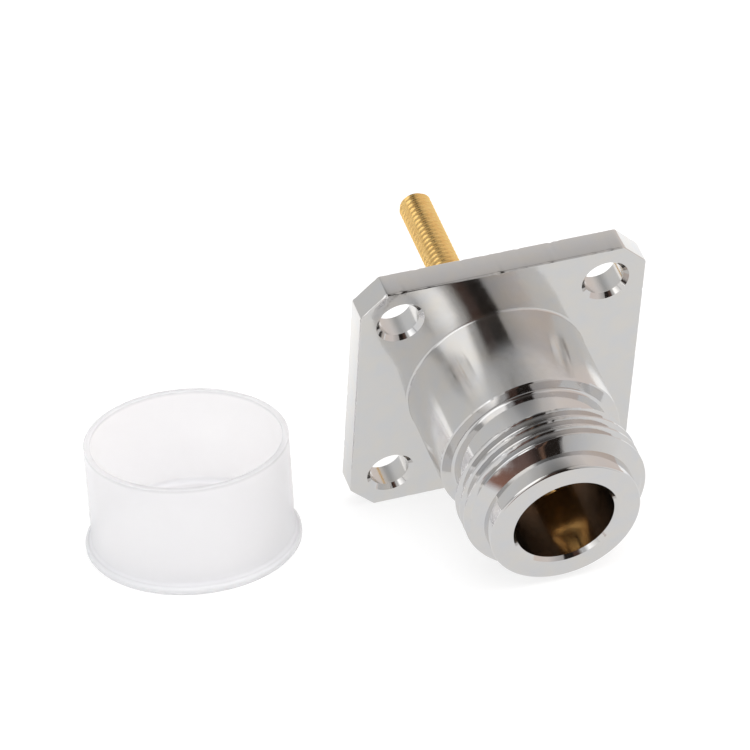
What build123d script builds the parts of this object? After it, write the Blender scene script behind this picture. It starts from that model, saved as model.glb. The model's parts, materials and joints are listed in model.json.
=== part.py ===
from build123d import *
import math
import os

# Panel receptacle of a threaded coaxial connector, with a screw stud at the back,
# and its dust cap, taken off and standing beside it. All sizes are in millimetres.
#
# The connector is drawn in its own frame: the axis is Z, the front of the flange is Z = 0,
# and the mating end is at +Z. It is then laid down as it rests on a table, on the lower
# edge of its flange and on the front of its coupling thread.

# Flange
flange_size = 25.4
flange_thickness = 2.4
corner_clip = 2.2
edge_break = 0.12
hole_edge_distance = 3.57
hole_diameter = 3.5
countersink_diameter = 4.25

# Barrel, outside, from the flange to the mating face
body_diameter = 16.0
body_length = 8.6
body_root_chamfer = 0.2
shoulder_break = 0.1
relief_diameter = 13.6
relief_length = 2.8
relief_fillet = 0.3
thread_diameter = 15.875
thread_length = 3.6
thread_tail_length = 0.5
lead_length = 0.65
pilot_diameter = 13.2
pilot_length = 1.8
pilot_break = 0.25

# Barrel, inside, from the mating face to the back
mouth_diameter = 9.3
mating_bore_diameter = 8.7
mating_bore_length = 5.2
bore_taper_length = 1.0
seat_bore_diameter = 8.1
reference_depth = 9.1
line_bore_diameter = 7.0
air_gap_length = 1.5

# Insulators and the ring that holds them in
insulator_diameter = 9.0
front_insulator_length = 3.0
insulator_lead_chamfer = 0.3
ring_diameter = 10.6
ring_bore_diameter = 7.0
ring_thickness = 1.5
ring_chamfer = 0.2
fit_clearance = 0.02
press_clearance = 0.01

# Centre contact: slotted socket, captured collar and screw stud
contact_recess = 4.5
contact_diameter = 3.04
contact_tip_round = 0.35
socket_bore_diameter = 1.65
socket_bore_depth = 5.5
socket_drill_point_angle = 118.0
socket_lead_chamfer = 0.2
slot_count = 4
slot_width = 0.35
slot_length = 4.2
collar_diameter = 4.8
collar_thickness = 1.4
collar_across_flats = 4.0
shank_diameter = 3.6
shank_proud = 0.5
stud_diameter = 3.0
stud_reach = 20.0
stud_end_chamfer = 0.4

# Dust cap, and where it stands from the middle of the flange's lower front edge
cap_diameter = 17.5
cap_wall = 0.55
cap_height = 10.0
cap_floor_thickness = 1.0
cap_lip_diameter = 18.6
cap_lip_thickness = 0.75
cap_lip_chamfer = 0.2
cap_corner_chamfer = 0.3
cap_rim_break = 0.12
cap_stands_left = 26.6
cap_stands_behind = 0.3

# Distance between the centres of neighbouring screw holes
hole_spacing = flange_size - 2 * hole_edge_distance

# Stations along the axis
flange_back = -flange_thickness
shoulder = body_length
thread_back = shoulder + relief_length
thread_front = thread_back + thread_length
lead_front = thread_front + lead_length
mating_face = lead_front + pilot_length
reference_plane = mating_face - reference_depth
insulator_front = reference_plane - air_gap_length
collar_front = insulator_front - front_insulator_length
collar_back = collar_front - collar_thickness
ring_front = flange_back + ring_thickness
contact_tip = mating_face - contact_recess
shank_back = flange_back - shank_proud
stud_end = flange_back - stud_reach

# Resting on the flange's lower front edge and the front crest of the thread
rest_tilt = math.degrees(math.atan2(
    flange_size / 2 - thread_diameter / 2,
    thread_front + edge_break,
))


def turned(outline):
    """Solid of revolution about Z from (radius, height) corners."""
    face = make_face(Polyline(*outline, close=True))
    return revolve(Plane.XZ * face, Axis.Z, 360)


def rings(shape, radius, height):
    """Circular edges of one radius at one height."""
    found = shape.edges().filter_by(GeomType.CIRCLE)
    return found.filter_by(
        lambda edge: abs(edge.radius - radius) < 1e-4 and abs(edge.center().Z - height) < 1e-4
    )


def tube(outer_radius, inner_radius, bottom, top):
    """Plain ring between two heights."""
    return turned([(inner_radius, bottom), (outer_radius, bottom), (outer_radius, top), (inner_radius, top)])


def flatted_disc(diameter, across_flats, bottom, top):
    """Disc with two flats, parallel to Y."""
    disc = turned([(0, bottom), (diameter / 2, bottom), (diameter / 2, top), (0, top)])
    band = Box(across_flats, 2 * diameter, top - bottom, align=(Align.CENTER, Align.CENTER, Align.MIN))
    return disc & Pos(0, 0, bottom) * band


def flange_plate():
    """Square plate with clipped corners and broken edges."""
    outline = chamfer(Rectangle(flange_size, flange_size).vertices(), corner_clip)
    plate = Pos(0, 0, flange_back) * extrude(outline, flange_thickness)
    rims = plate.edges().filter_by(lambda edge: abs(edge.tangent_at(0.5).Z) < 0.5)
    return chamfer(rims, edge_break)


def screw_hole(x, y):
    """Through hole, countersunk from the front."""
    drill = Pos(x, y, flange_back) * Cylinder(
        hole_diameter / 2, flange_thickness, align=(Align.CENTER, Align.CENTER, Align.MIN)
    )
    sink_depth = (countersink_diameter - hole_diameter) / 2
    sink = Pos(x, y, -sink_depth) * Cone(
        hole_diameter / 2, countersink_diameter / 2, sink_depth, align=(Align.CENTER, Align.CENTER, Align.MIN)
    )
    return drill + sink


def barrel_outside():
    """Body cylinder, relief groove, coupling thread at its major diameter, lead cone and pilot."""
    body_radius = body_diameter / 2
    relief_radius = relief_diameter / 2
    thread_radius = thread_diameter / 2
    pilot_radius = pilot_diameter / 2
    barrel = turned([
        (0, 0),
        (body_radius + body_root_chamfer, 0),
        (body_radius, body_root_chamfer),
        (body_radius, shoulder - shoulder_break),
        (body_radius - shoulder_break, shoulder),
        (relief_radius, shoulder),
        (relief_radius, thread_back),
        (thread_radius, thread_back + thread_tail_length),
        (thread_radius, thread_front),
        (pilot_radius, lead_front),
        (pilot_radius, mating_face - pilot_break),
        (pilot_radius - pilot_break, mating_face),
        (0, mating_face),
    ])
    shoulder_width = body_radius - shoulder_break - relief_radius
    return fillet(rings(barrel, relief_radius, shoulder), min(relief_fillet, shoulder_width / 2))


def barrel_inside():
    """Stepped bore: mouth, mating bore, seat, air line, insulator seat and ring seat."""
    mouth_depth = (mouth_diameter - mating_bore_diameter) / 2
    taper_front = mating_face - mating_bore_length
    return turned([
        (0, flange_back),
        (ring_diameter / 2, flange_back),
        (ring_diameter / 2, ring_front),
        (insulator_diameter / 2, ring_front),
        (insulator_diameter / 2, insulator_front),
        (line_bore_diameter / 2, insulator_front),
        (line_bore_diameter / 2, reference_plane),
        (seat_bore_diameter / 2, reference_plane),
        (seat_bore_diameter / 2, taper_front - bore_taper_length),
        (mating_bore_diameter / 2, taper_front),
        (mating_bore_diameter / 2, mating_face - mouth_depth),
        (mouth_diameter / 2, mating_face),
        (0, mating_face),
    ])


def make_flange_body():
    """Flange and barrel, turned and milled from one bar."""
    body = flange_plate() + barrel_outside()
    body -= barrel_inside()
    offset = hole_spacing / 2
    for x in (-offset, offset):
        for y in (-offset, offset):
            body -= screw_hole(x, y)
    return body


def make_front_insulator():
    """Bead between the collar of the contact and the step in the bore."""
    bead = tube(
        insulator_diameter / 2 - fit_clearance,
        contact_diameter / 2 + fit_clearance,
        collar_front,
        insulator_front,
    )
    return chamfer(rings(bead, insulator_diameter / 2 - fit_clearance, insulator_front), insulator_lead_chamfer)


def make_rear_insulator():
    """Stepped sleeve round the shank, with a pocket that keeps the collar from turning."""
    sleeve = turned([
        (shank_diameter / 2 + fit_clearance, flange_back),
        (ring_bore_diameter / 2 - fit_clearance, flange_back),
        (ring_bore_diameter / 2 - fit_clearance, ring_front),
        (insulator_diameter / 2 - fit_clearance, ring_front),
        (insulator_diameter / 2 - fit_clearance, collar_front),
        (shank_diameter / 2 + fit_clearance, collar_front),
    ])
    pocket = flatted_disc(
        collar_diameter + 2 * fit_clearance,
        collar_across_flats + 2 * fit_clearance,
        collar_back,
        collar_front,
    )
    return sleeve - pocket


def make_retaining_ring():
    """Ring pressed into the back of the flange, behind the step of the rear insulator."""
    outer_radius = ring_diameter / 2 - press_clearance
    ring = tube(outer_radius, ring_bore_diameter / 2, flange_back, ring_front)
    return chamfer(rings(ring, outer_radius, ring_front), ring_chamfer)


def make_centre_contact():
    """Slotted socket at the front, collar with two flats, shank and screw stud at the back."""
    socket = turned([
        (0, collar_back),
        (contact_diameter / 2, collar_back),
        (contact_diameter / 2, contact_tip),
        (0, contact_tip),
    ])
    socket = fillet(rings(socket, contact_diameter / 2, contact_tip), contact_tip_round)
    bore_radius = socket_bore_diameter / 2
    bore_bottom = contact_tip - socket_bore_depth
    drill_point = bore_radius / math.tan(math.radians(socket_drill_point_angle / 2))
    socket -= turned([
        (0, bore_bottom - drill_point),
        (bore_radius, bore_bottom),
        (bore_radius, contact_tip - socket_lead_chamfer),
        (bore_radius + socket_lead_chamfer, contact_tip),
        (0, contact_tip),
    ])
    slot = Box(contact_diameter, slot_width, slot_length, align=(Align.MIN, Align.CENTER, Align.MAX))
    for number in range(slot_count):
        angle = (number + 0.5) * 360 / slot_count
        socket -= Rot(0, 0, angle) * Pos(0, 0, contact_tip) * slot

    stud = turned([
        (0, stud_end),
        (stud_diameter / 2 - stud_end_chamfer, stud_end),
        (stud_diameter / 2, stud_end + stud_end_chamfer),
        (stud_diameter / 2, shank_back),
        (shank_diameter / 2, shank_back),
        (shank_diameter / 2, collar_back),
        (0, collar_back),
    ])
    collar = flatted_disc(collar_diameter, collar_across_flats, collar_back, collar_front)
    return socket + collar + stud


def make_dust_cap():
    """Thin cup with a wider lip round its closed end, which is down."""
    outer_radius = cap_diameter / 2
    inner_radius = outer_radius - cap_wall
    lip_radius = cap_lip_diameter / 2
    cup = turned([
        (0, 0),
        (lip_radius, 0),
        (lip_radius, cap_lip_thickness),
        (outer_radius, cap_lip_thickness),
        (outer_radius, cap_height),
        (inner_radius, cap_height),
        (inner_radius, cap_floor_thickness),
        (0, cap_floor_thickness),
    ])
    cup = chamfer(rings(cup, lip_radius, 0) + rings(cup, lip_radius, cap_lip_thickness), cap_lip_chamfer)
    cup = chamfer(rings(cup, outer_radius, cap_lip_thickness), cap_corner_chamfer)
    cup = chamfer(rings(cup, inner_radius, cap_floor_thickness), cap_corner_chamfer)
    return chamfer(rings(cup, outer_radius, cap_height) + rings(cup, inner_radius, cap_height), cap_rim_break)


def lay_down(shape):
    """Tip the connector onto its flange edge and thread, with its mating end towards -Y."""
    return Rot(X=90 + rest_tilt) * shape


connector = {
    "flange_body": make_flange_body(),
    "front_insulator": make_front_insulator(),
    "rear_insulator": make_rear_insulator(),
    "retaining_ring": make_retaining_ring(),
    "centre_contact": make_centre_contact(),
}

# The corner of the flange's edge that touches the table, in the laid-down frame
tilt_angle = math.radians(rest_tilt)
edge_down = flange_size / 2 * math.cos(tilt_angle) - edge_break * math.sin(tilt_angle)
edge_back = flange_size / 2 * math.sin(tilt_angle) + edge_break * math.cos(tilt_angle)
standing = {name: Pos(0, -edge_back, edge_down) * lay_down(shape) for name, shape in connector.items()}
standing["dust_cap"] = Pos(-cap_stands_left, cap_stands_behind, 0) * make_dust_cap()

# The origin is the middle of the whole part's footprint, on the table
extent = Compound(children=[shape.moved(Location()) for shape in standing.values()]).bounding_box()
middle_x = (extent.min.X + extent.max.X) / 2
middle_y = (extent.min.Y + extent.max.Y) / 2
parts = {name: Pos(-middle_x, -middle_y, 0) * shape for name, shape in standing.items()}

os.makedirs("parts", exist_ok=True)
for name, shape in parts.items():
    export_step(shape, f"parts/{name}.step")
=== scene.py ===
import bmesh
import bpy
import json
import math
from mathutils import Matrix, Vector, noise


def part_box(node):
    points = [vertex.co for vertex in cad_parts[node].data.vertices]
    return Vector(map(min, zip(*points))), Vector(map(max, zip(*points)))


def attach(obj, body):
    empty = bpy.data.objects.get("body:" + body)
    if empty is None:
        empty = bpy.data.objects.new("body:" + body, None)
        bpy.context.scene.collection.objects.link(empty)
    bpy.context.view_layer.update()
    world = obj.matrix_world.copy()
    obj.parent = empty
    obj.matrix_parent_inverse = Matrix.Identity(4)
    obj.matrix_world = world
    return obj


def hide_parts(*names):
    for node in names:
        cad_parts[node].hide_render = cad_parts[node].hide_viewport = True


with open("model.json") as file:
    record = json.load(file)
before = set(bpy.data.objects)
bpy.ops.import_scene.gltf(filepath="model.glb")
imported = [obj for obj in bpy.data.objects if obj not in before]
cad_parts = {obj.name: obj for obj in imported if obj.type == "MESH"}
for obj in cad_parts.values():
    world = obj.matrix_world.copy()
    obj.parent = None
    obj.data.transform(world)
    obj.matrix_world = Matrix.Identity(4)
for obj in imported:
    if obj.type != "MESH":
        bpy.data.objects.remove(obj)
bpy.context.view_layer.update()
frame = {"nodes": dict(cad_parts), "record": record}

MM = 0.001

# Flange, as in the solid, in millimetres
FLANGE_SIZE = 25.4
FLANGE_THICKNESS = 2.4
CORNER_CLIP = 2.2
EDGE_BREAK = 0.12
CORNER_ROUND = 0.35
HOLE_SPACING = 18.26
HOLE_RADIUS = 1.75
SINK_RADIUS = 2.125
SINK_DEPTH = SINK_RADIUS - HOLE_RADIUS

# Barrel outside: radii, and stations along the axis from the front of the flange
BODY_RADIUS = 8.0
ROOT_FILLET = 0.2
SHOULDER = 8.6
SHOULDER_BREAK = 0.1
PLAIN_END = SHOULDER - 2 * SHOULDER_BREAK
RELIEF_RADIUS = 6.8
RELIEF_FILLET = 0.3
THREAD_BACK = 11.4
THREAD_TAIL = 0.5
TAIL_FRONT = THREAD_BACK + THREAD_TAIL
THREAD_FRONT = 15.0
LEAD_FRONT = 15.65
PILOT_RADIUS = 6.6
PILOT_BREAK = 0.25
MATING_FACE = 17.45

# Barrel inside
MOUTH_RADIUS = 4.65
MATING_BORE_RADIUS = 4.35
MOUTH_DEPTH = MOUTH_RADIUS - MATING_BORE_RADIUS
TAPER_FRONT = 12.25
TAPER_BACK = 11.25
SEAT_RADIUS = 4.05
REFERENCE_PLANE = 8.35
LINE_RADIUS = 3.5
INSULATOR_FRONT = 6.85
INSULATOR_RADIUS = 4.5
RING_FRONT = -0.9
RING_RADIUS = 5.3

# Centre contact
COLLAR_FRONT = 3.85
COLLAR_BACK = 2.45
COLLAR_RADIUS = 2.4
COLLAR_FLAT = 2.0
CONTACT_TIP = 12.95
CONTACT_RADIUS = 1.52
TIP_ROUND = 0.35
SOCKET_RADIUS = 0.825
SOCKET_LEAD = 0.2
SOCKET_DEPTH = 5.5
DRILL_HALF_ANGLE = math.radians(59)
SLOT_COUNT = 4
SLOT_WIDTH = 0.35
SLOT_LENGTH = 4.2
SHANK_RADIUS = 1.8
SHANK_BACK = -2.9
SHANK_BREAK = 0.1
STUD_END = -22.4
STUD_CHAMFER = 0.4

# Threads: flat is half of the crest and flank what follows it, in turns; rows are mesh rows per turn
COUPLING = {
    "crest": 7.9375,
    "pitch": 25.4 / 24,
    "depth": 0.56,
    "flat": 1 / 16,
    "flank": 5 / 16,
    "soft": 0.45,
    "rows": 18,
}
STUD = {
    "crest": 1.48,
    "pitch": 0.5,
    "depth": 0.24,
    "flat": 0.03,
    "flank": 0.47,
    "soft": 0.7,
    "rows": 12,
}

# Wear of the plated edges: size and depth of the dents, and the level of noise above which they begin
DENT_SIZE = 0.25
DENT_LEVEL = 0.1
EDGE_WEAR = 0.05
CREST_WEAR = 0.06

# Rims of the plate: mean, waver and nicks as shares of the edge break, waver length in dent sizes
RIM_MEAN = 1.25
RIM_WAVER = 0.1
RIM_WAVER_LENGTH = 4
RIM_NICK = 2.4
RIM_NICK_LEVEL = 0.2

# Dust cap
CAP_RADIUS = 8.75
CAP_WALL = 0.55
CAP_HEIGHT = 10.0
CAP_FLOOR = 1.0
LIP_RADIUS = 9.3
LIP_THICKNESS = 0.75
LIP_ROUND = 0.3
CAP_FILLET = 0.3
RIM_BREAK = 0.12

# Radius of the smallest ring, round the middle of the cap's floor
CAP_CENTRE = 0.001

# Over how much of the cap's surface one tone fades into the next, where the tones paint light and shade
LIP_FADE = 0.4
RIM_FADE = 0.25
CORNER_FADE = 0.3
GROUND_FADE = 0.4

# Colour of the cap's plastic, with painted light inside and painted shade on the rim, inner corner, floor,
# lip and lip edge, and, last, how dense it looks face on
CAP_WALL_TONE = (0.88, 0.88, 0.905, 0.60)
# Painted light: the inside is made lighter than the wall to cancel its shade
CAP_INSIDE_PAINTED_LIGHT = (1.0, 0.98, 0.985, 0.55)
# Painted shade: rim, inner corner, the cap's floor, lip and lip edge are darker than the wall
CAP_RIM_PAINTED_SHADE = (0.62, 0.62, 0.635, 0.68)
CAP_CORNER_PAINTED_SHADE = (0.86, 0.86, 0.875, 0.75)
CAP_GROUND_PAINTED_SHADE = (0.80, 0.79, 0.80, 0.60)
CAP_LIP_PAINTED_SHADE = (0.77, 0.77, 0.79, 0.70)
CAP_LIP_EDGE_PAINTED_SHADE = (0.74, 0.745, 0.76, 0.74)

# Mesh: points round each piece, rows of each stretch, steps of each round, and how near points merge
AROUND_BARREL = 288
AROUND_HOLE = 96
AROUND_STUD = 96
AROUND_CAP = 256
BARREL_FIRST_ROW = 2.0
BARREL_ROWS = 4
TAIL_ROWS = 6
LEAD_ROWS = 8
STUD_TIP_ROWS = 8
PLATE_RIM_ROWS = 6
PLATE_RIM_SPACING = 0.3
PLATE_CORNER_STEPS = 4
ARC_STEPS = 6
TIP_STEPS = 5
CAP_RIM_STEPS = 4
FINGER_STEPS = 20
SHARP_ANGLE = math.radians(20)
MERGE = 1e-7 / MM

# Tolerances in millimetres when the faces of the body are sorted into zones
NEAR = 0.01
TOUCH = 0.001

# Octaves of the noise, from the softest to the finest, and the range that most of it fills
CLOUD_DETAIL = 2
GRAIN_DETAIL = 3
HAZE_DETAIL = 4
STAIN_DETAIL = 6
NOISE_RANGE = (0.3, 0.7)

# Nickel by zone: roughness, how far the blur is drawn out, depth of the turning lines, colour; the bore's
# darker, browner colour is painted shade and a painted reflection of the gold contact
NICKEL_ZONES = {
    "plate": (0.085, 0.0, 0.0, (0.72, 0.715, 0.705)),
    "hole": (0.20, 0.0, 0.0, (0.74, 0.735, 0.725)),
    "turned": (0.165, 0.93, 0.0008, (0.72, 0.715, 0.705)),
    "front": (0.07, 0.3, 0.0003, (0.72, 0.715, 0.71)),
    # Bore: darker, browner nickel colour that paints shade and a reflection of the gold contact
    "bore": (0.15, 0.4, 0.0003, (0.60, 0.52, 0.45)),
}
ZONE_NAMES = list(NICKEL_ZONES)

# Nickel all over: how stains shift its colour and haze its roughness, and sizes in millimetres
WARM_STAIN = (1.01, 0.985, 0.95)
COOL_STAIN = (0.955, 0.965, 0.99)
STAIN_SIZE = 1.6
HAZE_BELOW = 0.02
HAZE_ABOVE = 0.03
HAZE_SIZE = 0.5
WAVE_SIZE = 3.0
WAVE_DEPTH = 0.006
GRAIN_SIZE = 0.16
GRAIN_DEPTH = 0.001
LINE_SIZE = 0.09
QUARTER_TURN = 0.25

# Gold and fluoropolymer, with sizes in millimetres
GOLD = {
    "metallic": 0.91,
    "tones": ((0.93, 0.63, 0.24), (0.87, 0.56, 0.20)),
    "cloud_size": 0.8,
    "roughness": (0.17, 0.22),
    "haze_size": 0.3,
    "grain_size": 0.2,
    "grain_depth": 0.002,
}
FLUOROPOLYMER = {
    "metallic": 0.0,
    "tones": ((0.87, 0.87, 0.85), (0.83, 0.83, 0.81)),
    "cloud_size": 1.0,
    "roughness": (0.40, 0.52),
    "haze_size": 0.4,
    "grain_size": 0.25,
    "grain_depth": 0.003,
}

# Plastic of the cap, with sizes in millimetres
CAP_SPECULAR = 0.2
CAP_SCATTER = 0.6
CAP_SCATTER_DEPTH = 2
CAP_CLOUD_TINT = (0.985, 0.985, 0.99, 1)
CAP_CLOUD_SIZE = 5.0
CAP_ROUGHNESS = (0.34, 0.42)
CAP_HAZE_SIZE = 0.6
CAP_EDGE_BLEND = 0.35
CAP_EDGE_DENSITY = 0.50
CAP_WAVE_SIZE = 4.0
CAP_WAVE_DEPTH = 0.02
CAP_GRAIN_SIZE = 0.3
CAP_GRAIN_DEPTH = 0.001

# Dome that the metal reflects: levels, and where across and along they change, as parts of the direction
DOME_LEFT = 0.50
DOME_RIGHT = 0.76
DOME_BACK = 0.66
DOME_ACROSS = (-0.5, 0.3)
DOME_ALONG = (0.0, 0.5)
DOME_FALL = ((0.75, 1.0), (0.9, 0.75))
DOME_TOP = 0.16
DOME_WARMTH = (1.0, 0.88, 0.82, 1)
WHITE = (1, 1, 1, 1)

# Half of the floor's side, in metres
FLOOR_REACH = 1.5

# Floor: grey and glow as the camera sees them, the same for all other rays, and where their glow rises
FLOOR_GREY = (0.36, 0.36, 0.36, 1)
FLOOR_GLOW = 0.69
OTHER_FLOOR_GREY = (0.08, 0.08, 0.08, 1)
OTHER_FLOOR_GLOW = (0.74, 1.05)
OTHER_FLOOR_RISE = (5 * MM, 35 * MM)

# How far the floor lies under the object, so that it shares no plane with the faces that rest on it
FLOOR_GAP = 0.01 * MM

# Colours of the dark screen
SCREEN_BLACK = (0.018, 0.014, 0.012)
SCREEN_LINE = (0.19, 0.11, 0.075)
SCREEN_HOOD = (0.055, 0.048, 0.044)
COPPER = (0.27, 0.13, 0.095)
BROWN = (0.155, 0.10, 0.088)
DARK_BROWN = (0.075, 0.042, 0.032)
GREY_BROWN = (0.085, 0.060, 0.054)
FAINT_BROWN = (0.040, 0.025, 0.022)

# Dark screen, in millimetres: y, z, ten x from left to right, how solid it is, colour of its left columns
SCREEN_FOOT = 0.3
SCREEN_ROWS = (
    (-30, SCREEN_FOOT, (-4, -2, 2, 6.2, 7.5, 9, 18, 20, 26, 36), 0, COPPER),
    (-34, SCREEN_FOOT, (-4, -2, 2, 6.6, 8, 9.5, 18.5, 21, 27, 38), 1, COPPER),
    (-50, SCREEN_FOOT, (-1.2, 0.8, 4.5, 9.4, 10.8, 12, 21, 23.5, 32, 48), 1, BROWN),
    (-72, SCREEN_FOOT, (-9, -2, 3, 11.8, 13.8, 15.5, 25, 28, 40, 66), 1, BROWN),
    (-150, SCREEN_FOOT, (-18, -2, 2, 14.5, 18.3, 21.8, 44, 50, 78, 130), 1, BROWN),
    (-450, SCREEN_FOOT, (-90, -50, -14, 9, 39, 51, 122, 142, 240, 390), 1, BROWN),
    (-450, 60, (-100, -72, -14, 9, 39, 51, 117, 134, 230, 380), 1, DARK_BROWN),
    (-450, 180, (-114, -67, -14, 9, 39, 51, 113, 129, 225, 380), 1, DARK_BROWN),
    (-450, 270, (-160, -90, -21, 1, 39, 51, 112, 128, 225, 380), 1, GREY_BROWN),
    (-450, 434, (-170, -110, -29, -1, 39, 51, 112, 128, 225, 380), 1, FAINT_BROWN),
    (-450, 490, (-200, -150, -29, -1, 39, 51, 110, 135, 225, 380), 1, SCREEN_HOOD),
    (-400, 560, (-220, -160, -29, -1, 39, 51, 120, 150, 225, 380), 1, SCREEN_HOOD),
    (-300, 640, (-210, -160, -29, -1, 39, 51, 180, 215, 250, 380), 1, SCREEN_HOOD),
    (-160, 700, (-110, -80, -29, -1, 39, 51, 100, 115, 140, 200), 1, SCREEN_HOOD),
    (-60, 720, (-60, -45, -29, -1, 20, 31, 40, 55, 70, 90), 0, SCREEN_HOOD),
)

# How solid each column of the screen is, how many are its left part, and which is the faint line
SCREEN_SHARES = (0, 1, 1, 1, 1, 1, 1, 0.4, 0.25, 0)
LEFT_COLUMNS = 3
LINE_COLUMN = 4

# Light card: elevation and azimuths of left edge, full part and right edge in degrees, and its level
LIGHT_CARD = (
    (-6, (-38, -33, -25, -20), 0.0),
    (-1, (-42, -36, -24, -19), 0.8),
    (6, (-48, -42, -24, -18), 1.0),
    (12, (-57, -49, -25, -19), 1.3),
    (18, (-80, -64, -25.5, -19), 1.5),
    (24, (-94, -84, -26, -19.5), 1.5),
    (30, (-97, -88, -28, -21), 1.45),
    (36, (-98, -90, -31, -24), 1.4),
    (42, (-98, -90, -35, -28), 1.4),
    (48, (-98, -90, -40, -33), 1.4),
    (54, (-96, -88, -41, -33), 1.4),
    (62, (-93, -84, -43, -35), 1.35),
    (70, (-90, -80, -45, -36), 0.0),
)

# Light card all over: distance in metres, steps across its full part, least level, gain from left to right
LIGHT_CARD_DISTANCE = 0.7
LIGHT_CARD_STEPS = 4
LEAST_LEVEL = 0.7
LEFT_GAIN = 0.82
GAIN_RISE = 0.3

# Cuts across each field of both cards
CARD_CUTS = 3

# Soft lights: azimuth and elevation in degrees, distance, width and height in metres, radiance
LAMPS = {
    "left_softbox": (-55, 36, 0.7, (0.58, 0.62), 1.5),
    "right_softbox": (68, 38, 0.8, (0.65, 0.55), 1.3),
    "overhead": (20, 75, 0.7, (0.7, 0.7), 2.2),
}

# Camera, fitted to the photograph: where it looks, from how far, under which angles and with which lens
LOOK_AT = Vector((1.785, 1.787, 12.815)) * MM
CAMERA_DISTANCE = 426.2 * MM
CAMERA_AZIMUTH = -16.55
CAMERA_ELEVATION = 29.08
CAMERA_ROLL = -3.5
CAMERA_LENS = 240.0
CAMERA_SENSOR = 36
CAMERA_CLIP = (0.01, 10)


def mount(name):
    """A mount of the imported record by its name."""
    return next(entry for entry in frame["record"]["mounts"] if entry["name"] == name)


def connector_frame():
    """Matrix to the shared frame from the connector's millimetres: axis along Z, flange front at 0."""
    end = mount("mating_end")
    along = Vector(end["axis"]).normalized()
    across = Vector((1, 0, 0))
    up = along.cross(across)
    origin = Vector(end["pos_m"]) - along * MATING_FACE * MM
    turn = Matrix((across, up, along)).transposed()
    return Matrix.Translation(origin) @ turn.to_4x4() @ Matrix.Scale(MM, 4)


def cap_frame():
    """Matrix to the shared frame from the cap's millimetres: standing on Z = 0."""
    low, high = (Vector(corner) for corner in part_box("dust_cap"))
    foot = Vector(((low.x + high.x) / 2, (low.y + high.y) / 2, low.z))
    return Matrix.Translation(foot) @ Matrix.Scale(MM, 4)


CONNECTOR = connector_frame()
CAP = cap_frame()


def spread(low, high, steps):
    """Evenly spaced values, both ends included."""
    return [low + (high - low) * step / steps for step in range(steps + 1)]


def arc(centre, radius, start, end, steps=ARC_STEPS):
    """Points of a circular arc in (radius, station), with angles in degrees from the radial direction."""
    points = []
    for degrees in spread(start, end, steps):
        angle = math.radians(degrees)
        points.append((centre[0] + radius * math.cos(angle), centre[1] + radius * math.sin(angle)))
    return points


def on_circle(radius, angle, station):
    """Point at a radius from the axis and an angle round it, in radians."""
    return radius * math.cos(angle), radius * math.sin(angle), station


def ring(bm, radius, station, count):
    """Circle of vertices. The radius is a number or a function of station and angle."""
    made = []
    for step in range(count):
        angle = math.tau * step / count
        reach = radius(station, angle) if callable(radius) else radius
        made.append(bm.verts.new(on_circle(reach, angle, station)))
    return made


def skin(bm, rings):
    """Quads between each two rings that follow each other."""
    faces = []
    for one, two in zip(rings, rings[1:]):
        for step in range(len(one)):
            after = (step + 1) % len(one)
            faces.append(bm.faces.new((one[step], one[after], two[after], two[step])))
    return faces


def lathe(bm, profile, count):
    """Surface of revolution through (radius, station) points. Returns its faces and its rings."""
    rings = [ring(bm, radius, station, count) for radius, station in profile]
    return skin(bm, rings), rings


def helix_band(bm, thread, radius_at, back, front, count):
    """Threaded band whose mesh lines follow the helix, cut square at both ends. Returns its faces."""
    pitch, per_turn = thread["pitch"], thread["rows"]
    rows = math.ceil((front - back) / pitch * per_turn) + per_turn + 1
    grid = []
    for step in range(count):
        angle = math.tau * step / count
        column = []
        for row in range(rows + 1):
            station = back - pitch + pitch * row / per_turn + pitch * step / count
            station = min(max(station, back), front)
            column.append(bm.verts.new(on_circle(radius_at(station, angle), angle, station)))
        grid.append(column)
    faces = []
    for step in range(count):
        wraps = step == count - 1
        one, two = grid[step], grid[0 if wraps else step + 1]
        shift = per_turn if wraps else 0
        for row in range(rows):
            low, high = min(row + shift, rows), min(row + 1 + shift, rows)
            corners = (one[row], two[low], two[high], one[row + 1])
            if len(set(corners)) > 2:
                faces.append(bm.faces.new(tuple(dict.fromkeys(corners))))
    return faces


def loop_edges(bm, verts):
    """Edges round a closed loop of vertices, made where they are missing."""
    edges = []
    for one, two in zip(verts, verts[1:] + verts[:1]):
        edges.append(bm.edges.get((one, two)) or bm.edges.new((one, two)))
    return edges


def fill_between(bm, loops):
    """Flat surface within the outer loop and outside all other loops."""
    edges = [edge for loop in loops for edge in loop_edges(bm, loop)]
    bmesh.ops.triangle_fill(bm, edges=edges, use_beauty=True)


def smooth(faces):
    """Shades faces as parts of a round surface."""
    for face in faces:
        face.smooth = True


def mesh_from(bm, name):
    """Mesh of what was built, which is freed."""
    mesh = bpy.data.meshes.new(name)
    bm.to_mesh(mesh)
    bm.free()
    return mesh


def add_object(name, data):
    """New object in the scene."""
    made = bpy.data.objects.new(name, data)
    bpy.context.scene.collection.objects.link(made)
    return made


def finish_mesh(bm, name, place, materials):
    """Cleans the mesh, puts it in the shared frame and makes the object."""
    bmesh.ops.remove_doubles(bm, verts=bm.verts, dist=MERGE)
    bmesh.ops.dissolve_degenerate(bm, edges=bm.edges, dist=MERGE)
    bmesh.ops.recalc_face_normals(bm, faces=bm.faces)
    bmesh.ops.transform(bm, matrix=place, verts=bm.verts)
    mesh = mesh_from(bm, name)
    mesh.set_sharp_from_angle(angle=SHARP_ANGLE)
    for material in materials:
        mesh.materials.append(material)
    return add_object(name, mesh)


def thread_radius(thread, station, angle):
    """Radius of a right-handed thread at a station and an angle: flat crest and root, softened flanks."""
    turns = station / thread["pitch"] - angle / math.tau
    off_crest = abs(turns - round(turns))
    drop = min(max((off_crest - thread["flat"]) / thread["flank"], 0), 1)
    eased = drop * drop * (3 - 2 * drop)
    drop += (eased - drop) * thread["soft"]
    return thread["crest"] - thread["depth"] * drop


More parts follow.
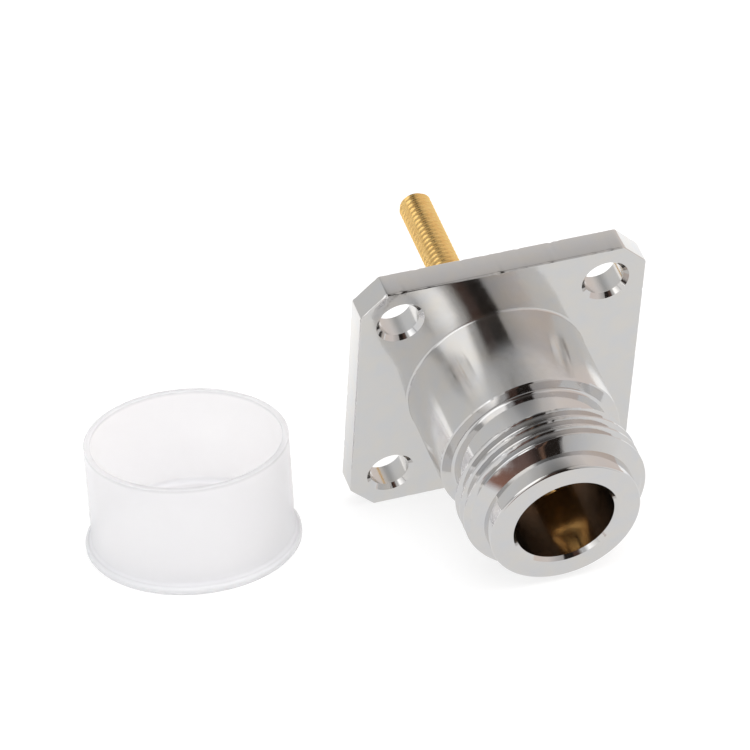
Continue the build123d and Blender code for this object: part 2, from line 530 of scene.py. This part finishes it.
def thread_limit(station):
    """Radius of the tail cone, the crest cylinder and the lead cone at a station."""
    crest = COUPLING["crest"]
    if station < TAIL_FRONT:
        share = (station - THREAD_BACK) / THREAD_TAIL
        return RELIEF_RADIUS + (crest - RELIEF_RADIUS) * share
    if station > THREAD_FRONT:
        share = (station - THREAD_FRONT) / (LEAD_FRONT - THREAD_FRONT)
        return crest + (PILOT_RADIUS - crest) * share
    return crest


def dents(radius, station, angle):
    """Scattered dents of up to about 1 in the plated edges, none in most places."""
    place = Vector(on_circle(radius, angle, station)) / DENT_SIZE
    return max(0, noise.noise(place) - DENT_LEVEL)


def worn(radius):
    """Radius of an edge ring that has small dents, as a function of station and angle."""
    def dented(station, angle):
        return radius - EDGE_WEAR * dents(radius, station, angle)
    return dented


def coupling_radius(station, angle):
    """Coupling thread between its tail and its lead, dented along its crests."""
    radius = min(thread_limit(station), thread_radius(COUPLING, station, angle))
    height = max(0, 1 - (COUPLING["crest"] - radius) / COUPLING["depth"])
    return radius - CREST_WEAR * height ** 2 * dents(COUPLING["crest"], station, angle)


def stud_radius(station, angle):
    """Thread of the stud, with the chamfer at its end."""
    chamfer = STUD["crest"] - STUD_CHAMFER + station - STUD_END
    return min(chamfer, thread_radius(STUD, station, angle))


def build_barrel(bm):
    """Plain barrel, shoulder and relief groove. Returns the faces and the ring at the flange."""
    groove = RELIEF_RADIUS + RELIEF_FILLET
    profile = arc((BODY_RADIUS + ROOT_FILLET, ROOT_FILLET), ROOT_FILLET, 270, 180)
    profile += [(BODY_RADIUS, station) for station in spread(BARREL_FIRST_ROW, PLAIN_END, BARREL_ROWS)]
    profile += [
        (worn(BODY_RADIUS), SHOULDER - SHOULDER_BREAK),
        (worn(BODY_RADIUS - SHOULDER_BREAK), SHOULDER),
        (groove, SHOULDER),
    ]
    profile += arc((groove, SHOULDER + RELIEF_FILLET), RELIEF_FILLET, 270, 180)
    profile += [(RELIEF_RADIUS, THREAD_BACK)]
    faces, rings = lathe(bm, profile, AROUND_BARREL)
    return faces, rings[0]


def build_coupling(bm):
    """Coupling thread from its tail cone to its lead cone. Returns the faces."""
    tail = [(coupling_radius, station) for station in spread(THREAD_BACK, TAIL_FRONT, TAIL_ROWS)]
    lead = [(coupling_radius, station) for station in spread(THREAD_FRONT, LEAD_FRONT, LEAD_ROWS)]
    faces, _ = lathe(bm, tail, AROUND_BARREL)
    faces += helix_band(bm, COUPLING, coupling_radius, TAIL_FRONT, THREAD_FRONT, AROUND_BARREL)
    faces += lathe(bm, lead, AROUND_BARREL)[0]
    return faces


def build_bore(bm):
    """Pilot, mouth and stepped bore. Returns the faces and the ring at the back of the flange."""
    profile = [(PILOT_RADIUS, LEAD_FRONT)]
    profile += arc((PILOT_RADIUS - PILOT_BREAK, MATING_FACE - PILOT_BREAK), PILOT_BREAK, 0, 90)
    profile += [
        (MOUTH_RADIUS, MATING_FACE),
        (MATING_BORE_RADIUS, MATING_FACE - MOUTH_DEPTH),
        (MATING_BORE_RADIUS, TAPER_FRONT),
        (SEAT_RADIUS, TAPER_BACK),
        (SEAT_RADIUS, REFERENCE_PLANE),
        (LINE_RADIUS, REFERENCE_PLANE),
        (LINE_RADIUS, INSULATOR_FRONT),
        (INSULATOR_RADIUS, INSULATOR_FRONT),
        (INSULATOR_RADIUS, RING_FRONT),
        (RING_RADIUS, RING_FRONT),
        (RING_RADIUS, -FLANGE_THICKNESS),
    ]
    faces, rings = lathe(bm, profile, AROUND_BARREL)
    return faces, rings[-1]


def build_holes(bm):
    """Four countersunk holes. Returns the faces, and the loops at the front and at the back."""
    profile = [(SINK_RADIUS, 0), (HOLE_RADIUS, -SINK_DEPTH), (HOLE_RADIUS, -FLANGE_THICKNESS)]
    places = (-HOLE_SPACING / 2, HOLE_SPACING / 2)
    faces, front, back = [], [], []
    for x in places:
        for y in places:
            walls, rings = lathe(bm, profile, AROUND_HOLE)
            verts = [vert for each in rings for vert in each]
            bmesh.ops.transform(bm, matrix=Matrix.Translation((x, y, 0)), verts=verts)
            faces += walls
            front.append(rings[0])
            back.append(rings[-1])
    return faces, front, back


def corner_between(low, high, reach):
    """Where two sides of the plate meet, from the directions of their normals and their distances."""
    one, two = reach
    turn = math.sin(high - low)
    across = (one * math.sin(high) - two * math.sin(low)) / turn
    along = (two * math.cos(low) - one * math.cos(high)) / turn
    return across, along


def plate_outline():
    """Points round the clipped square with their outward directions: (x, y, nx, ny)."""
    straight, clipped = FLANGE_SIZE / 2, (FLANGE_SIZE - CORNER_CLIP) / math.sqrt(2)
    reach = [straight, clipped] * 4
    turn = 360 // len(reach)
    arcs = []
    for side, distance in enumerate(reach):
        low, high = math.radians(turn * side), math.radians(turn * (side + 1))
        inner = (distance - CORNER_ROUND, reach[(side + 1) % len(reach)] - CORNER_ROUND)
        x, y = corner_between(low, high, inner)
        turned = []
        for angle in spread(low, high, PLATE_CORNER_STEPS):
            nx, ny = math.cos(angle), math.sin(angle)
            turned.append((x + CORNER_ROUND * nx, y + CORNER_ROUND * ny, nx, ny))
        arcs.append(turned)
    points = []
    for one, two in zip(arcs, arcs[1:] + arcs[:1]):
        points += one
        (x0, y0, nx, ny), (x1, y1, _, _) = one[-1], two[0]
        steps = math.ceil(math.hypot(x1 - x0, y1 - y0) / PLATE_RIM_SPACING)
        for share in spread(0, 1, steps)[1:-1]:
            points.append((x0 + (x1 - x0) * share, y0 + (y1 - y0) * share, nx, ny))
    return points


def rim_size(x, y, level):
    """How round the rim of the plate is at a place, with scattered nicks."""
    place = Vector((x, y, level)) / DENT_SIZE
    size = EDGE_BREAK * (RIM_MEAN + RIM_WAVER * noise.noise(place / RIM_WAVER_LENGTH))
    return size + EDGE_BREAK * RIM_NICK * max(0, noise.noise(place) - RIM_NICK_LEVEL)


def build_plate_rims(bm):
    """Rounded, slightly dented rims of the plate, and its sides. Returns its front and its back loop."""
    outline = plate_outline()
    loops = []
    for level, away in ((0, -1), (-FLANGE_THICKNESS, 1)):
        rim = []
        for tilt in spread(0, math.pi / 2, PLATE_RIM_ROWS):
            loop = []
            for x, y, nx, ny in outline:
                size = rim_size(x, y, level)
                inset = size * (1 - math.sin(tilt))
                station = level + away * size * (1 - math.cos(tilt))
                loop.append(bm.verts.new((x - inset * nx, y - inset * ny, station)))
            rim.append(loop)
        loops += rim if away < 0 else rim[::-1]
    count = len(outline)
    side_row = len(loops) // 2 - 1
    for number, face in enumerate(skin(bm, loops)):
        here, after = outline[number % count], outline[(number + 1) % count]
        face.smooth = number // count != side_row or here[2:] != after[2:]
    return loops[0], loops[-1]


def zone_of(centre):
    """Which finish a face has, from where it lies in the connector's own frame."""
    radius, station = math.hypot(centre.x, centre.y), centre.z
    # Inside the bore the nickel carries painted shade and a painted reflection of the gold
    if radius < RING_RADIUS + NEAR and station < MATING_FACE - MOUTH_DEPTH - NEAR:
        return "bore"
    if station >= TOUCH:
        return "turned" if station < PLAIN_END else "front"
    offset = HOLE_SPACING / 2
    from_hole = math.hypot(abs(centre.x) - offset, abs(centre.y) - offset)
    if not -FLANGE_THICKNESS + TOUCH < station < -TOUCH or from_hole > SINK_RADIUS:
        return "plate"
    return "hole" if from_hole < HOLE_RADIUS + TOUCH else "front"


def build_flange_body(materials):
    """Flange with four countersunk holes, and the barrel with its cut thread and stepped bore."""
    bm = bmesh.new()
    barrel, root_ring = build_barrel(bm)
    thread = build_coupling(bm)
    bore, ring_seat = build_bore(bm)
    holes, front_holes, back_holes = build_holes(bm)
    front_rim, back_rim = build_plate_rims(bm)
    fill_between(bm, [front_rim, root_ring] + front_holes)
    fill_between(bm, [back_rim, ring_seat] + back_holes)
    smooth(barrel + thread + bore + holes)
    for face in bm.faces:
        face.material_index = ZONE_NAMES.index(zone_of(face.calc_center_median()))
    return finish_mesh(bm, "nickel_body", CONNECTOR, materials)


def finger_ring(bm, radius, station):
    """Points of one circle, in a list for each finger between two slots."""
    pitch = math.tau / SLOT_COUNT
    half_slot = math.asin(SLOT_WIDTH / 2 / radius)
    sweep = pitch - 2 * half_slot
    fingers = []
    for finger in range(SLOT_COUNT):
        start = finger * pitch - pitch / 2 + half_slot
        angles = [start + sweep * step / FINGER_STEPS for step in range(FINGER_STEPS + 1)]
        fingers.append([bm.verts.new(on_circle(radius, angle, station)) for angle in angles])
    return fingers


def joined(fingers):
    """Points of all fingers in one list."""
    return [vert for finger in fingers for vert in finger]


def whole_ring(bm, radius, station):
    """Points of one circle in one list, on the angles of the fingers."""
    return joined(finger_ring(bm, radius, station))


def build_fingers(bm):
    """Front of the socket, cut into fingers. Returns round faces, outer rear ring and inner rear ring."""
    slot_floor = CONTACT_TIP - SLOT_LENGTH
    profile = [(CONTACT_RADIUS, slot_floor)]
    profile += arc((CONTACT_RADIUS - TIP_ROUND, CONTACT_TIP - TIP_ROUND), TIP_ROUND, 0, 90, TIP_STEPS)
    profile += [
        (SOCKET_RADIUS + SOCKET_LEAD, CONTACT_TIP),
        (SOCKET_RADIUS, CONTACT_TIP - SOCKET_LEAD),
        (SOCKET_RADIUS, slot_floor),
    ]
    rings = [finger_ring(bm, radius, station) for radius, station in profile]
    faces = []
    for here, beyond in zip(rings, rings[1:]):
        for one, two in zip(here, beyond):
            for step in range(FINGER_STEPS):
                faces.append(bm.faces.new((one[step], one[step + 1], two[step + 1], two[step])))
    outer, inner = rings[0], rings[-1]
    for finger in range(SLOT_COUNT):
        for side in (0, -1):
            bm.faces.new([each[finger][side] for each in rings])
        after = (finger + 1) % SLOT_COUNT
        bm.faces.new((outer[finger][-1], outer[after][0], inner[after][0], inner[finger][-1]))
    return faces, joined(outer), joined(inner)


def build_socket(bm):
    """Slotted socket with a drilled floor. Returns its rear ring."""
    faces, outer, inner = build_fingers(bm)
    socket_floor = CONTACT_TIP - SOCKET_DEPTH
    floor_ring = whole_ring(bm, SOCKET_RADIUS, socket_floor)
    faces += skin(bm, [inner, floor_ring])
    drill_point = SOCKET_RADIUS / math.tan(DRILL_HALF_ANGLE)
    centre = bm.verts.new((0, 0, socket_floor - drill_point))
    for one, two in zip(floor_ring, floor_ring[1:] + floor_ring[:1]):
        faces.append(bm.faces.new((one, two, centre)))
    rear_ring = whole_ring(bm, CONTACT_RADIUS, COLLAR_FRONT)
    faces += skin(bm, [outer, rear_ring])
    smooth(faces)
    return rear_ring


def flatted_ring(bm, station):
    """Outline of the collar: a circle with two flats, on the angles of the fingers."""
    points = whole_ring(bm, CONTACT_RADIUS, station)
    for vert in points:
        angle = math.atan2(vert.co.y, vert.co.x)
        reach = COLLAR_RADIUS
        if abs(math.sin(angle)) > COLLAR_FLAT / COLLAR_RADIUS:
            reach = COLLAR_FLAT / abs(math.sin(angle))
        vert.co = on_circle(reach, angle, station)
    return points


def build_stud(bm):
    """Threaded stud with a chamfered end. Returns the ring where it leaves the shank."""
    band_back = STUD_END + STUD_CHAMFER
    stations = spread(STUD_END, band_back, STUD_TIP_ROWS)
    tip = [ring(bm, stud_radius, station, AROUND_STUD) for station in stations]
    bm.faces.new(tip[0])
    smooth(skin(bm, tip))
    smooth(helix_band(bm, STUD, stud_radius, band_back, SHANK_BACK, AROUND_STUD))
    return ring(bm, stud_radius, SHANK_BACK, AROUND_STUD)


def build_contact(material):
    """Centre contact in one turning: slotted socket, flatted collar, shank and threaded stud."""
    bm = bmesh.new()
    socket_end = build_socket(bm)
    collar = [flatted_ring(bm, COLLAR_FRONT), flatted_ring(bm, COLLAR_BACK)]
    shank = [
        whole_ring(bm, SHANK_RADIUS, COLLAR_BACK),
        whole_ring(bm, SHANK_RADIUS, SHANK_BACK + SHANK_BREAK),
        whole_ring(bm, SHANK_RADIUS - SHANK_BREAK, SHANK_BACK),
    ]
    skin(bm, [socket_end, collar[0]])
    skin(bm, collar)
    skin(bm, [collar[1], shank[0]])
    smooth(skin(bm, shank[:2]))
    skin(bm, shank[1:])
    fill_between(bm, [build_stud(bm), shank[-1]])
    return finish_mesh(bm, "gold_contact", CONNECTOR, [material])


def build_cap(material):
    """Thin cup with a lip round its closed end. Corners are rounded, and its tone differs by place:
    painted light inside, painted shade on the rim, inner corner, floor, lip and lip edge.
    """
    bm = bmesh.new()
    tone_and_painted_light = bm.verts.layers.float_color.new("tone_and_painted_light")
    inner = CAP_RADIUS - CAP_WALL
    rim = CAP_HEIGHT - RIM_BREAK
    lip_side = LIP_RADIUS - LIP_ROUND
    above_lip = LIP_THICKNESS + CAP_FILLET
    above_floor = CAP_FLOOR + CAP_FILLET
    # Tone by place: painted light inside, painted shade on the rim, inner corner, floor, lip and lip edge
    sections = (
        (CAP_LIP_PAINTED_SHADE, [(CAP_CENTRE, 0)]),
        (CAP_LIP_PAINTED_SHADE, arc((lip_side, LIP_ROUND), LIP_ROUND, 270, 360)),
        (CAP_LIP_EDGE_PAINTED_SHADE, arc((lip_side, LIP_THICKNESS - LIP_ROUND), LIP_ROUND, 0, 90)),
        (CAP_LIP_PAINTED_SHADE, arc((CAP_RADIUS + CAP_FILLET, above_lip), CAP_FILLET, 270, 180)),
        (CAP_WALL_TONE, [(CAP_RADIUS, above_lip + LIP_FADE), (CAP_RADIUS, rim - RIM_FADE)]),
        (CAP_RIM_PAINTED_SHADE, arc((CAP_RADIUS - RIM_BREAK, rim), RIM_BREAK, 0, 90, CAP_RIM_STEPS)),
        (CAP_RIM_PAINTED_SHADE, arc((inner + RIM_BREAK, rim), RIM_BREAK, 90, 180, CAP_RIM_STEPS)),
        (CAP_INSIDE_PAINTED_LIGHT, [(inner, rim - RIM_FADE), (inner, above_floor + CORNER_FADE)]),
        (CAP_CORNER_PAINTED_SHADE, arc((inner - CAP_FILLET, above_floor), CAP_FILLET, 360, 270)),
        (CAP_GROUND_PAINTED_SHADE, [(inner - CAP_FILLET - GROUND_FADE, CAP_FLOOR), (CAP_CENTRE, CAP_FLOOR)]),
    )
    profile = [point for _, points in sections for point in points]
    shades = [shade for shade, points in sections for _ in points]
    faces, rings = lathe(bm, profile, AROUND_CAP)
    for shade, circle in zip(shades, rings):
        for vert in circle:
            vert[tone_and_painted_light] = shade
    for end in (rings[0], rings[-1]):
        bm.faces.new(end)
    smooth(faces)
    return finish_mesh(bm, "translucent_cap", CAP, [material])


def wire(tree, node, inputs):
    """Sets inputs of a node by name or number: a socket is linked, anything else is the value itself."""
    for name, value in inputs.items():
        if isinstance(value, bpy.types.NodeSocket):
            tree.links.new(value, node.inputs[name])
        else:
            node.inputs[name].default_value = value
    return node


def add_node(tree, kind, inputs):
    """New node with some of its inputs set."""
    return wire(tree, tree.nodes.new(kind), inputs)


def new_material(name):
    """New material with an output and a principled shader: (material, tree, shader, output)."""
    material = bpy.data.materials.new(name)
    material.use_nodes = True
    tree = material.node_tree
    return material, tree, tree.nodes["Principled BSDF"], tree.nodes["Material Output"]


def object_noise(tree, size, detail=CLOUD_DETAIL):
    """Noise over the surface, with features of a size in millimetres. Returns its output socket."""
    place = tree.nodes.new("ShaderNodeTexCoord").outputs["Object"]
    inputs = {"Vector": place, "Scale": 1 / (size * MM), "Detail": detail}
    return add_node(tree, "ShaderNodeTexNoise", inputs).outputs["Fac"]


def map_range(tree, source, before, after, way="LINEAR"):
    """Carries a socket over from one range to another. Returns the output socket."""
    node = tree.nodes.new("ShaderNodeMapRange")
    node.interpolation_type = way
    wire(tree, node, {"Value": source, "From Min": before[0], "From Max": before[1]})
    wire(tree, node, {"To Min": after[0], "To Max": after[1]})
    return node.outputs["Result"]


def mix_colours(tree, way, factor, one, two):
    """Mix of two colours, each a value or a socket. Returns the output socket."""
    mix = tree.nodes.new("ShaderNodeMix")
    mix.data_type = "RGBA"
    mix.blend_type = way
    wire(tree, mix, {"Factor": factor, "A": one, "B": two})
    return mix.outputs["Result"]


def vary(tree, source, low, high):
    """Value that noise moves between two. Returns its socket."""
    return map_range(tree, source, NOISE_RANGE, (low, high))


def tint(tree, source, one, two):
    """Colour that noise moves between two. Returns its socket."""
    return mix_colours(tree, "MIX", vary(tree, source, 0, 1), (*one, 1), (*two, 1))


def emboss(tree, heights):
    """Bumps from (height socket, depth in millimetres), one upon the other. Returns a normal socket."""
    inputs = {}
    for height, depth in heights:
        inputs.update({"Height": height, "Distance": depth * MM})
        inputs["Normal"] = add_node(tree, "ShaderNodeBump", inputs).outputs["Normal"]
    return inputs["Normal"]


def vector_math(tree, operation, one, two):
    """Node that works on two vectors, each a value or a socket."""
    node = tree.nodes.new("ShaderNodeVectorMath")
    node.operation = operation
    return wire(tree, node, {0: one, 1: two})


def along_axis(tree):
    """Station along the connector's axis, and the direction round it, as sockets."""
    axis = tuple(mount("mating_end")["axis"])
    place = tree.nodes.new("ShaderNodeTexCoord").outputs["Object"]
    offset = vector_math(tree, "SUBTRACT", place, CONNECTOR.translation).outputs["Vector"]
    station = vector_math(tree, "DOT_PRODUCT", offset, axis).outputs["Value"]
    around = vector_math(tree, "CROSS_PRODUCT", offset, axis).outputs["Vector"]
    return station, around


def make_nickel(zone):
    """Bright plating: stains, haze, waves, fine grain and, where the part was turned, lines round it."""
    # The bore zone's colour paints shade and a reflection of the gold contact
    roughness, stretch, line_depth, tone_and_painted_light = NICKEL_ZONES[zone]
    material, tree, shader, _ = new_material("nickel_" + zone)
    warm = [level * stain for level, stain in zip(tone_and_painted_light, WARM_STAIN)]
    cool = [level * stain for level, stain in zip(tone_and_painted_light, COOL_STAIN)]
    stains = object_noise(tree, STAIN_SIZE, STAIN_DETAIL)
    haze = object_noise(tree, HAZE_SIZE, HAZE_DETAIL)
    heights = [
        (object_noise(tree, WAVE_SIZE), WAVE_DEPTH),
        (object_noise(tree, GRAIN_SIZE, GRAIN_DETAIL), GRAIN_DEPTH),
    ]
    if stretch:
        station, around = along_axis(tree)
        lines = tree.nodes.new("ShaderNodeTexNoise")
        lines.noise_dimensions = "1D"
        wire(tree, lines, {"W": station, "Scale": 1 / (LINE_SIZE * MM)})
        heights.append((lines.outputs["Fac"], line_depth))
        wire(tree, shader, {
            "Anisotropic": stretch,
            "Anisotropic Rotation": QUARTER_TURN,
            "Tangent": around,
        })
    wire(tree, shader, {
        "Metallic": 1.0,
        "Base Color": tint(tree, stains, warm, cool),
        "Roughness": vary(tree, haze, roughness - HAZE_BELOW, roughness + HAZE_ABOVE),
        "Normal": emboss(tree, heights),
    })
    return material


def make_finish(name, finish):
    """Finish that is a little uneven in tone and gloss, with a fine grain."""
    material, tree, shader, _ = new_material(name)
    clouds = object_noise(tree, finish["cloud_size"])
    haze = object_noise(tree, finish["haze_size"], HAZE_DETAIL)
    grain = object_noise(tree, finish["grain_size"], GRAIN_DETAIL)
    wire(tree, shader, {
        "Metallic": finish["metallic"],
        "Base Color": tint(tree, clouds, *finish["tones"]),
        "Roughness": vary(tree, haze, *finish["roughness"]),
        "Normal": emboss(tree, [(grain, finish["grain_depth"])]),
    })
    return material


def make_cap_plastic():
    """Milky translucent plastic with faint clouds, least dense where it is seen edge on."""
    material, tree, shader, _ = new_material("milky_plastic")
    # The cap's tone attribute carries its colour with painted light inside and painted shade on the rim,
    # corner, floor and lip
    tone_and_painted_light = tree.nodes.new("ShaderNodeAttribute")
    tone_and_painted_light.attribute_name = "tone_and_painted_light"
    clouds = vary(tree, object_noise(tree, CAP_CLOUD_SIZE), 0, 1)
    haze = object_noise(tree, CAP_HAZE_SIZE, GRAIN_DETAIL)
    edge = add_node(tree, "ShaderNodeLayerWeight", {"Blend": CAP_EDGE_BLEND})
    density = (tone_and_painted_light.outputs["Alpha"], CAP_EDGE_DENSITY)
    heights = [
        (object_noise(tree, CAP_WAVE_SIZE), CAP_WAVE_DEPTH),
        (object_noise(tree, CAP_GRAIN_SIZE, GRAIN_DETAIL), CAP_GRAIN_DEPTH),
    ]
    wire(tree, shader, {
        "Base Color": mix_colours(tree, "MULTIPLY", clouds, tone_and_painted_light.outputs["Color"], CAP_CLOUD_TINT),
        "Roughness": vary(tree, haze, *CAP_ROUGHNESS),
        "Specular IOR Level": CAP_SPECULAR,
        "Subsurface Weight": CAP_SCATTER,
        "Subsurface Radius": (1, 1, 1),
        "Subsurface Scale": CAP_SCATTER_DEPTH * MM,
        "Alpha": map_range(tree, edge.outputs["Facing"], (0, 1), density),
        "Normal": emboss(tree, heights),
    })
    return material


def show_apart(tree, others, camera, output):
    """Shows one shader to the camera and another to all other rays."""
    share = tree.nodes.new("ShaderNodeLightPath").outputs["Is Camera Ray"]
    mix = add_node(tree, "ShaderNodeMixShader", {"Fac": share, 1: others, 2: camera})
    wire(tree, output, {"Surface": mix.outputs["Shader"]})


def glowing_matte(tree, colour, strength):
    """Matte surface that glows as well. Returns its output socket."""
    matte = add_node(tree, "ShaderNodeBsdfDiffuse", {"Color": colour})
    glow = add_node(tree, "ShaderNodeEmission", {"Strength": strength})
    both = {0: matte.outputs["BSDF"], 1: glow.outputs["Emission"]}
    return add_node(tree, "ShaderNodeAddShader", both).outputs["Shader"]


def make_floor():
    """Pale floor with the object's shadow. To all but the camera it is brighter behind the object."""
    material, tree, shader, output = new_material("pale_floor")
    tree.nodes.remove(shader)
    place = tree.nodes.new("ShaderNodeTexCoord").outputs["Object"]
    axes = add_node(tree, "ShaderNodeSeparateXYZ", {"Vector": place}).outputs
    rise = map_range(tree, axes["Y"], OTHER_FLOOR_RISE, OTHER_FLOOR_GLOW)
    others = glowing_matte(tree, OTHER_FLOOR_GREY, rise)
    camera = glowing_matte(tree, FLOOR_GREY, FLOOR_GLOW)
    show_apart(tree, others, camera, output)
    bm = bmesh.new()
    bmesh.ops.create_grid(bm, x_segments=1, y_segments=1, size=FLOOR_REACH)
    floor = add_object("floor", mesh_from(bm, "floor"))
    floor.location.z = -FLOOR_GAP
    floor.data.materials.append(material)


def make_world():
    """Soft dome, white to the camera. To all else its front left and top are darker, its right warmer."""
    world = bpy.data.worlds.new("soft_dome")
    bpy.context.scene.world = world
    world.use_nodes = True
    tree = world.node_tree
    towards = tree.nodes.new("ShaderNodeTexCoord").outputs["Generated"]
    axes = add_node(tree, "ShaderNodeSeparateXYZ", {"Vector": towards}).outputs
    across = map_range(tree, axes["X"], DOME_ACROSS, (DOME_LEFT, DOME_RIGHT), "SMOOTHSTEP")
    along = map_range(tree, axes["Y"], DOME_ALONG, (DOME_LEFT, DOME_BACK), "SMOOTHSTEP")
    brighter = tree.nodes.new("ShaderNodeMath")
    brighter.operation = "MAXIMUM"
    wire(tree, brighter, {0: across, 1: along})
    height = add_node(tree, "ShaderNodeValToRGB", {"Fac": axes["Z"]})
    stops = height.color_ramp.elements
    stops[0].color = WHITE
    for place, level in DOME_FALL:
        stops.new(place).color = (level, level, level, 1)
    stops[-1].color = (DOME_TOP, DOME_TOP, DOME_TOP, 1)
    colour = mix_colours(tree, "MULTIPLY", axes["X"], height.outputs["Color"], DOME_WARMTH)
    dome = wire(tree, tree.nodes["Background"], {"Color": colour, "Strength": brighter.outputs["Value"]})
    white = add_node(tree, "ShaderNodeBackground", {"Color": WHITE})
    output = tree.nodes["World Output"]
    show_apart(tree, dome.outputs["Background"], white.outputs["Background"], output)


def card_material(name):
    """Glow whose colour and solidity come from the card's shade."""
    material, tree, shader, output = new_material(name)
    tree.nodes.remove(shader)
    shade = tree.nodes.new("ShaderNodeAttribute")
    shade.attribute_name = "shade"
    glow = add_node(tree, "ShaderNodeEmission", {"Color": shade.outputs["Color"]})
    clear = tree.nodes.new("ShaderNodeBsdfTransparent")
    mix = add_node(tree, "ShaderNodeMixShader", {
        "Fac": shade.outputs["Alpha"],
        1: clear.outputs["BSDF"],
        2: glow.outputs["Emission"],
    })
    wire(tree, output, {"Surface": mix.outputs["Shader"]})
    return material


def make_card(name, rows):
    """Glowing card with soft edges, seen only in gloss. Rows of (place, colour, how solid it is)."""
    bm = bmesh.new()
    shade = bm.verts.layers.float_color.new("shade")
    grid = []
    for row in rows:
        line = []
        for place, colour, solid in row:
            vert = bm.verts.new(place)
            vert[shade] = (*colour, solid)
            line.append(vert)
        grid.append(line)
    for one, two in zip(grid, grid[1:]):
        for step in range(len(one) - 1):
            bm.faces.new((one[step], one[step + 1], two[step + 1], two[step]))
    bmesh.ops.subdivide_edges(bm, edges=bm.edges, cuts=CARD_CUTS, use_grid_fill=True)
    card = add_object(name, mesh_from(bm, name))
    card.data.materials.append(card_material(name))
    card.visible_camera = False
    card.visible_diffuse = False
    card.visible_transmission = False
    card.visible_shadow = False


def make_dark_screen():
    """Dark screen before the object: a strip of floor with a faint line, an upright and a hood above."""
    rows = []
    for y, z, xs, solid, left in SCREEN_ROWS:
        plain = SCREEN_HOOD if left == SCREEN_HOOD else SCREEN_BLACK
        colours = [left] * LEFT_COLUMNS + [plain] * (len(xs) - LEFT_COLUMNS)
        if z == SCREEN_FOOT:
            colours[LINE_COLUMN] = SCREEN_LINE
        row = []
        for x, share, colour in zip(xs, SCREEN_SHARES, colours):
            row.append(((x * MM, y * MM, z * MM), colour, share * solid))
        rows.append(row)
    make_card("dark_screen", rows)


def direction(azimuth, elevation):
    """Unit vector from the object. Azimuth 0 is the front, positive is to the right, both in degrees."""
    azimuth, elevation = math.radians(azimuth), math.radians(elevation)
    return Vector((
        math.sin(azimuth) * math.cos(elevation),
        -math.cos(azimuth) * math.cos(elevation),
        math.sin(elevation),
    ))


def make_light_card():
    """Bright card at the left of the object, brighter towards its right edge."""
    rows = []
    for elevation, (begin, full, last, end), level in LIGHT_CARD:
        row = []
        for azimuth in [begin] + spread(full, last, LIGHT_CARD_STEPS) + [end]:
            place = direction(azimuth, elevation) * LIGHT_CARD_DISTANCE
            solid = 0 if level == 0 or azimuth in (begin, end) else 1
            gain = LEFT_GAIN + GAIN_RISE * (azimuth - begin) / (end - begin)
            row.append((place, [max(level, LEAST_LEVEL) * gain] * 3, solid))
        rows.append(row)
    make_card("light_card", rows)


def make_lamp(name, azimuth, elevation, distance, size, radiance):
    """Rectangular soft light that faces the object and isn't seen in gloss."""
    data = bpy.data.lights.new(name, "AREA")
    data.shape = "RECTANGLE"
    data.size, data.size_y = size
    data.energy = radiance * math.pi * size[0] * size[1]
    away = direction(azimuth, elevation)
    lamp = add_object(name, data)
    lamp.location = away * distance
    lamp.rotation_mode = "QUATERNION"
    lamp.rotation_quaternion = (-away).to_track_quat("-Z", "Y")
    lamp.visible_glossy = False


def make_camera():
    """Camera that sees the object as the photograph shows it."""
    data = bpy.data.cameras.new("camera")
    data.sensor_width = CAMERA_SENSOR
    data.lens = CAMERA_LENS
    data.clip_start, data.clip_end = CAMERA_CLIP
    away = direction(CAMERA_AZIMUTH, CAMERA_ELEVATION)
    level = (-away).to_track_quat("-Z", "Y").to_matrix()
    roll = Matrix.Rotation(math.radians(CAMERA_ROLL), 3, "Z")
    camera = add_object("camera", data)
    camera.location = LOOK_AT + away * CAMERA_DISTANCE
    camera.rotation_euler = (level @ roll).to_euler()
    bpy.context.scene.camera = camera


def paint(node, material):
    """Gives a carried-over solid its finished material."""
    for slot in frame["nodes"][node].material_slots:
        slot.link = "OBJECT"
        slot.material = material


nickels = [make_nickel(zone) for zone in ZONE_NAMES]
gold = make_finish("thin_gold", GOLD)
fluoropolymer = make_finish("white_fluoropolymer", FLUOROPOLYMER)
milky = make_cap_plastic()

body = build_flange_body(nickels)
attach(body, "root")
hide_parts("flange_body")

contact = build_contact(gold)
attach(contact, "root")
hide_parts("centre_contact")

cap = build_cap(milky)
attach(cap, "root")
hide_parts("dust_cap")

paint("front_insulator", fluoropolymer)
paint("rear_insulator", fluoropolymer)
paint("retaining_ring", nickels[ZONE_NAMES.index("plate")])

make_floor()
make_world()
make_dark_screen()
make_light_card()
for lamp_name, lamp_values in LAMPS.items():
    make_lamp(lamp_name, *lamp_values)
make_camera()

scene = bpy.context.scene
scene.view_settings.view_transform = "Standard"
